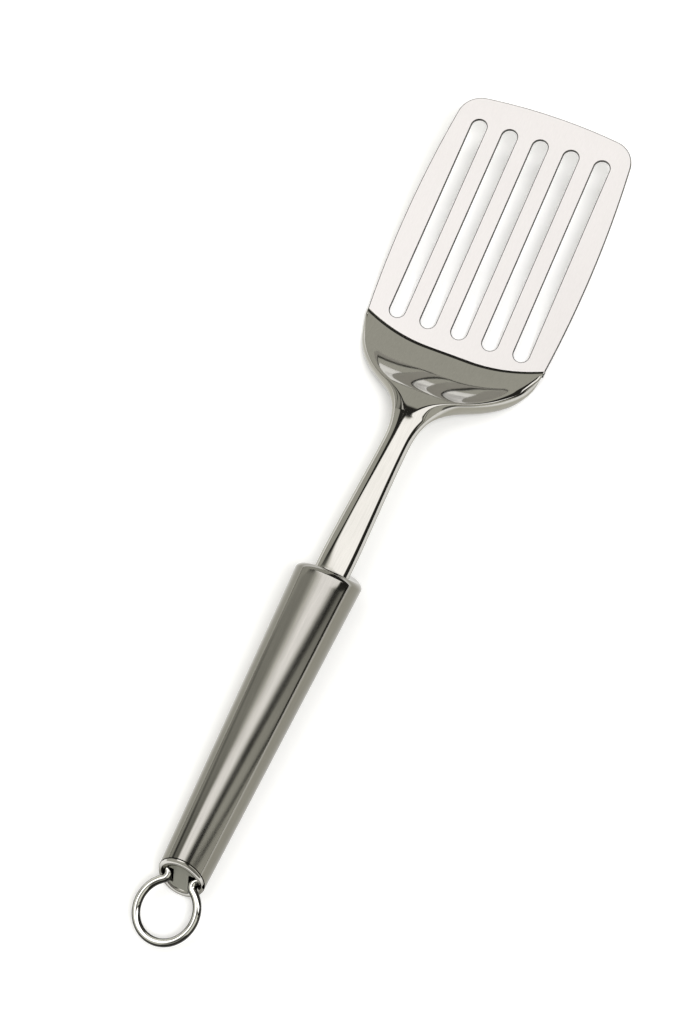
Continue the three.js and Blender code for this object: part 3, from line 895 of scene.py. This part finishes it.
class TURNER_OT_tail(bpy.types.Operator):
    """Turn the collar and the end plate in the handle's tail"""

    bl_idname = "turner.tail"
    bl_label = "Tail Collar and End Plate"

    def execute(self, context):
        h, r, f = (
            context.scene.turner_handle, context.scene.turner_ring, context.scene.turner_finish
        )
        tail = h.tail_diameter / 2
        lean = math.tan(h.end_lean)
        bore = tail - h.bead_width - h.slip / 2
        sleeve = tail - h.wall - h.slip
        ledge_top = h.plate_standout - h.plate_thickness - h.slip
        crown = bore + h.bead_width / 2

        def at(depth):
            return -h.body_length - depth

        bm = bmesh.new()
        bead = sweep(
            bm, bm.verts.new((bore, at(h.slip), 0)), (crown, at(h.slip), 0), (0, 0, 1), math.pi, 24
        )
        flatten = Matrix.Translation((0, at(h.slip), 0)) @ Matrix.Diagonal(
            (1, h.bead_height / (h.bead_width / 2), 1, 1)
        ) @ Matrix.Translation((0, -at(h.slip), 0))
        bmesh.ops.transform(bm, matrix=flatten, verts=bead)
        rest = chain(bm, [
            (sleeve, at(h.slip), 0), (sleeve, at(-h.sleeve_length), 0),
            (bore - h.ledge, at(-h.sleeve_length), 0), (bore - h.ledge, at(ledge_top), 0),
            (bore, at(ledge_top), 0),
        ])
        bm.edges.new((bead[-1], rest[0]))
        bm.edges.new((rest[-1], bead[0]))
        turned(bm, bm.verts[:], ROUND_STEPS)
        slant(bm, lambda y: lean)
        collar = to_object(bm, "tail_collar_skin", handle_place())
        hole = bmesh.new()
        pin_room = r.wire / 2 + 1.5 * h.slip
        on_hinge = Matrix.Translation((0, at(-r.hinge_depth), 0))
        bmesh.ops.create_cone(
            hole, cap_ends=True, segments=48, radius1=pin_room, radius2=pin_room,
            depth=h.tail_diameter + CUT, matrix=on_hinge @ Matrix.Rotation(math.pi / 2, 4, "Y"),
        )
        cut_away(collar, to_object(hole, "pin_cutter", handle_place()))
        cut_away(collar, tail_cutter(r.hinge_depth + r.wire))
        smooth_but_sharp(collar, 38)
        # Painted shade: the collar's sides and underside keep about a third of their colour, standing
        # in for dark reflections
        bright = steel(
            "polished_collar", f.collar, f.collar_rough, h.rest_tilt - h.rise, (700, 700, 700),
            streak=0.06, bump=0.01, painted_side_shade=(0.35, 0.25, 0.60, 0.0),
        )
        dress(collar, BODY_OF_TOOL, "tail_collar", "collar_steel", bright)

        bm = bmesh.new()
        edge = bore - h.slip
        low, high = at(h.plate_standout - h.plate_thickness), at(h.plate_standout)
        chain(bm, [
            (0, low, 0), (edge, low, 0), (edge, high + h.plate_bevel, 0),
            (edge - h.plate_bevel, high, 0), (0, high, 0),
        ])
        turned(bm, bm.verts[:], 96)
        slant(bm, lambda y: lean)
        plate = to_object(bm, "end_plate_skin", handle_place())
        cut_away(plate, tail_cutter(CUT))
        smooth_but_sharp(plate, 30)
        matt = steel(
            "matt_plate", f.plate, f.plate_rough, h.rest_tilt - h.rise, (900, 900, 900),
            streak=0.08, cloud=0.06, bump=0.05,
        )
        dress(plate, BODY_OF_TOOL, "end_plate", "plate_steel", matt)
        return {"FINISHED"}


class TURNER_OT_ring(bpy.types.Operator):
    """Bend the wire ring that swings in the tail"""

    bl_idname = "turner.ring"
    bl_label = "Hanging Ring"

    def execute(self, context):
        h, r, f = (
            context.scene.turner_handle, context.scene.turner_ring, context.scene.turner_finish
        )
        bend, bend_x, slope = loop_join()
        pin_end = h.tail_diameter / 2 - h.wall - 1.5 * h.slip

        def arc(cx, cy, rx, ry, start, stop, count):
            steps = (start + (stop - start) * i / count for i in range(count + 1))
            return [(cx + rx * math.cos(a), cy + ry * math.sin(a)) for a in steps]

        up = math.pi / 2
        path = [(pin_end, 0.0)]
        path += arc(bend_x, -bend, bend, bend, up, math.pi + slope, 24)
        path += arc(
            0, -r.loop_reach, r.loop_width / 2, r.loop_length / 2,
            up - r.loop_opening, up + r.loop_opening - math.tau, 120,
        )[1:]
        path += arc(-bend_x, -bend, bend, bend, -slope, up, 24)[1:]
        path.append((-pin_end, 0.0))
        bm = bmesh.new()

        def frame_at(i):
            a = Vector(path[max(i - 1, 0)])
            b = Vector(path[min(i + 1, len(path) - 1)])
            run = (b - a).normalized()
            turn_z = math.atan2(run.y, run.x)
            return Matrix.Translation((*path[i], 0)) @ Matrix.Rotation(turn_z, 4, "Z")

        across_wire = Matrix.Rotation(up, 4, "Y")
        ring = bmesh.ops.create_circle(
            bm, cap_ends=True, segments=32, radius=r.wire / 2, matrix=frame_at(0) @ across_wire
        )["verts"]
        edges = list({e for v in ring for e in v.link_edges})
        last = frame_at(0)
        for i in range(1, len(path)):
            made = bmesh.ops.extrude_edge_only(bm, edges=edges)["geom"]
            ring = [v for v in made if isinstance(v, bmesh.types.BMVert)]
            edges = [
                e for e in made
                if isinstance(e, bmesh.types.BMEdge) and all(v in ring for v in e.verts)
            ]
            here = frame_at(i)
            bmesh.ops.transform(bm, matrix=here @ last.inverted(), verts=ring)
            last = here
        bmesh.ops.edgeloop_fill(bm, edges=edges)
        bmesh.ops.recalc_face_normals(bm, faces=bm.faces[:])
        round_edges(bm, sharp_edges(bm, math.radians(60)), r.pin_round, 3)
        piece = to_object(bm, "hanging_ring_wire", ring_place())
        smooth_but_sharp(piece, 40)
        # Painted shade: the wire's sides are darkened to nearly black, painting the dark outlines that
        # reflections draw along a polished wire
        bright = steel(
            "polished_wire", f.ring, f.ring_rough, 0.0, (900, 900, 900),
            streak=0.08, cloud=0.05, bump=0.01, painted_side_shade=(0.03, 0.68, 0.84, 0.0),
        )
        dress(piece, BODY_OF_RING, "hanging_ring", "ring_steel", bright)
        return {"FINISHED"}


class TURNER_OT_bush(bpy.types.Operator):
    """Give the bush inside the handle its turned finish"""

    bl_idname = "turner.bush"
    bl_label = "Tang Bush"

    def execute(self, context):
        f, h = context.scene.turner_finish, context.scene.turner_handle
        made = steel(
            "turned_bush", f.bush, f.bush_rough, h.rest_tilt - h.rise, (300, 5200, 300), streak=0.12
        )
        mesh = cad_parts["tang_bush"].data
        mesh.materials.clear()
        mesh.materials.append(made)
        return {"FINISHED"}


# Studio


def studio_light(world, t):
    """A bright panel overhead in a dark room with grey walls. x points right, y to the tip."""
    world.use_nodes = True
    n = Nodes(world.node_tree)
    out = n.add("ShaderNodeOutputWorld")
    sky = n.add("ShaderNodeBackground")
    n.link(sky.outputs[0], out.inputs["Surface"])
    split = n.add("ShaderNodeSeparateXYZ")
    n.link(n.add("ShaderNodeTexCoord").outputs["Generated"], split.inputs[0])
    x, y, z = split.outputs

    def plane(a, b, c, d):
        total = n.math("MULTIPLY_ADD", x, a, d)
        total = n.math("MULTIPLY_ADD", y, b, total)
        return n.math("MULTIPLY_ADD", z, c, total)

    def fall(value, low, high):
        return n.math("SUBTRACT", 1.0, n.step(value, low, high))

    def both(first, *more):
        for other in more:
            first = n.math("MULTIPLY", first, other)
        return first

    def brightest(first, *more):
        for other in more:
            first = n.math("MAXIMUM", first, other)
        return first

    # turns in degrees from straight up to the right; the panel's long edge runs aslant, so its
    # dark rim draws a slanting line along the handle
    turn_x = n.math("DEGREES", n.math("ARCTAN2", x, z))
    rim = n.math("MAXIMUM", n.math("MULTIPLY_ADD", y, 339.0, -20.5), 10.0)
    past = n.math("SUBTRACT", turn_x, rim)
    before_tip = fall(y, 0.27, 0.33)
    soft = both(n.step(y, 0.115, 0.165), before_tip)
    edge = n.math("SUBTRACT", turn_x, n.math("MULTIPLY_ADD", soft, 18.0, -38.0))
    edge = n.math("DIVIDE", edge, n.math("MULTIPLY_ADD", soft, 19.0, 5.0))
    lit = both(
        fall(past, -26.0, -4.0), n.step(edge, -1.0, 1.0), fall(x, 0.75, 0.80),
        n.step(y, -0.50, -0.42), fall(y, 0.475, 0.495),
        fall(plane(-0.33, 1.0, 0.0, 0.0), 0.556, 0.576),
    )
    # the wall past the tip
    rear_left = both(
        n.step(plane(-0.46, 1.0, 0.0, 0.0), 0.66, 0.69), fall(x, 0.03, 0.10), 0.55,
        brightest(n.step(y, 0.47, 0.50), fall(turn_x, -50.0, -46.0)),
    )
    # the left wall, with a dark seam
    seam = n.math("ADD", turn_x, n.math("MULTIPLY_ADD", y, 130.0, 49.75))
    dark_seam = both(
        fall(n.math("ABSOLUTE", seam), 2.0, 7.0), n.math("MULTIPLY_ADD", soft, -0.6, 0.95)
    )
    left_level = brightest(
        n.math("MULTIPLY_ADD", soft, 0.15, 0.27), both(fall(seam, -6.0, -3.0), 0.5)
    )
    left = both(
        before_tip, fall(turn_x, -20.0, -5.0), left_level, n.math("SUBTRACT", 1.0, dark_seam)
    )
    # the right wall, with a gap across it and one low down
    second = plane(0.033, 1.0, 0.167, -0.242)
    gap = both(n.step(second, -0.016, -0.008), fall(second, 0.004, 0.012))
    low_gap = both(n.step(turn_x, 80.0, 83.0), fall(turn_x, 87.0, 90.0), n.step(y, 0.185, 0.20))
    strip_level = n.math("MAXIMUM", n.math("MULTIPLY_ADD", y, -2.7, 1.027), 0.3)
    strip_level = n.math("MINIMUM", strip_level, 0.73)
    strip = both(n.step(second, -0.005, 0.005), strip_level)
    front_level = n.math("MULTIPLY_ADD", n.step(y, -0.45, -0.40), 0.50, 0.12)
    right = both(
        n.step(past, 4.0, 13.0), brightest(strip, both(fall(second, -0.02, -0.01), front_level)),
        n.math("SUBTRACT", 1.0, brightest(gap, low_gap)), fall(y, 0.27, 0.31),
    )
    # behind the ring
    front_left = both(fall(y, -0.55, -0.50), fall(x, 0.02, 0.10), 0.5)
    front = both(fall(y, -0.66, -0.58), 0.22)
    grey = brightest(rear_left, left, right, front_left, front, t.room)
    level = n.math("ADD", both(lit, t.panel), both(n.math("SUBTRACT", 1.0, lit), grey))
    n.link(level, sky.inputs["Strength"])
    colour = n.add("ShaderNodeMix", data_type="RGBA")
    n.link(lit, colour.inputs["Factor"])
    colour.inputs["A"].default_value = (*t.wall_tint, 1)
    colour.inputs["B"].default_value = (*t.panel_tint, 1)
    n.link(colour.outputs["Result"], sky.inputs["Color"])


class TURNER_OT_studio(bpy.types.Operator):
    """Lay the floor, set the light and the camera"""

    bl_idname = "turner.studio"
    bl_label = "Studio"

    def execute(self, context):
        scene, t = context.scene, context.scene.turner_studio
        bm = bmesh.new()
        bmesh.ops.create_grid(bm, x_segments=8, y_segments=8, size=6.0)
        floor = to_object(bm, "floor", Matrix.Identity(4))
        paper = bpy.data.materials.new("pale_floor")
        paper.use_nodes = True
        n = Nodes(paper.node_tree)
        out = n.add("ShaderNodeOutputMaterial")
        matt = n.add("ShaderNodeBsdfDiffuse")
        matt.inputs["Color"].default_value = (*t.floor, 1)
        lift = n.add("ShaderNodeEmission")
        path = n.add("ShaderNodeLightPath").outputs
        seen = n.math("MAXIMUM", path["Is Camera Ray"], path["Is Glossy Ray"])
        seen = n.math("MAXIMUM", seen, path["Is Transmission Ray"])
        n.link(n.math("MULTIPLY", seen, t.floor_lift), lift.inputs["Strength"])
        both = n.add("ShaderNodeAddShader")
        n.link(matt.outputs[0], both.inputs[0])
        n.link(lift.outputs[0], both.inputs[1])
        n.link(both.outputs[0], out.inputs["Surface"])
        floor.data.materials.append(paper)

        world = bpy.data.worlds.new("studio")
        scene.world = world
        studio_light(world, t)

        lamp = bpy.data.lights.new("key_lamp", "AREA")
        lamp.shape = "DISK"
        lamp.size = t.key_size
        lamp.energy = t.key
        key = bpy.data.objects.new("key_lamp", lamp)
        key.location = t.key_place
        key.rotation_euler = (-key.location).to_track_quat("-Z", "Y").to_euler()
        key.visible_glossy = False
        scene.collection.objects.link(key)

        lens = bpy.data.cameras.new("camera")
        lens.sensor_fit = "VERTICAL"
        lens.sensor_height = FILM_HEIGHT
        lens.lens = FOCAL_PIXELS / PICTURE_HEIGHT * FILM_HEIGHT
        lens.clip_start, lens.clip_end = 0.01, 50.0
        camera = bpy.data.objects.new("camera", lens)
        turned_to = Matrix((CAMERA_RIGHT, -CAMERA_DOWN, -CAMERA_AHEAD)).transposed().to_4x4()
        camera.matrix_world = Matrix.Translation(CAMERA_PLACE) @ turned_to
        scene.collection.objects.link(camera)
        scene.camera = camera
        scene.view_settings.view_transform = "Standard"
        return {"FINISHED"}


STEPS = (
    TURNER_OT_blade, TURNER_OT_handle, TURNER_OT_tail, TURNER_OT_ring, TURNER_OT_bush,
    TURNER_OT_studio,
)


class TURNER_PT_panel(bpy.types.Panel):
    """Sizes, colours and the steps that build the turner"""

    bl_idname = "TURNER_PT_panel"
    bl_label = "Slotted Turner"
    bl_space_type = "VIEW_3D"
    bl_region_type = "UI"
    bl_category = "Turner"

    def draw(self, context):
        for step in STEPS:
            self.layout.operator(step.bl_idname)
        for group in GROUPS:
            values = getattr(context.scene, group)
            box = self.layout.box()
            box.label(text=values.__class__.__doc__)
            for key in values.__annotations__:
                box.prop(values, key)


CLASSES = (*GROUPS.values(), *STEPS, TURNER_PT_panel)


def register():
    for c in CLASSES:
        bpy.utils.register_class(c)
    for group, kind in GROUPS.items():
        setattr(bpy.types.Scene, group, PointerProperty(type=kind))


def unregister():
    for group in GROUPS:
        delattr(bpy.types.Scene, group)
    for c in reversed(CLASSES):
        bpy.utils.unregister_class(c)


def main():
    register()
    bpy.ops.turner.blade()
    bpy.ops.turner.handle()
    bpy.ops.turner.tail()
    bpy.ops.turner.ring()
    bpy.ops.turner.bush()
    bpy.ops.turner.studio()


if __name__ == "__main__":
    main()
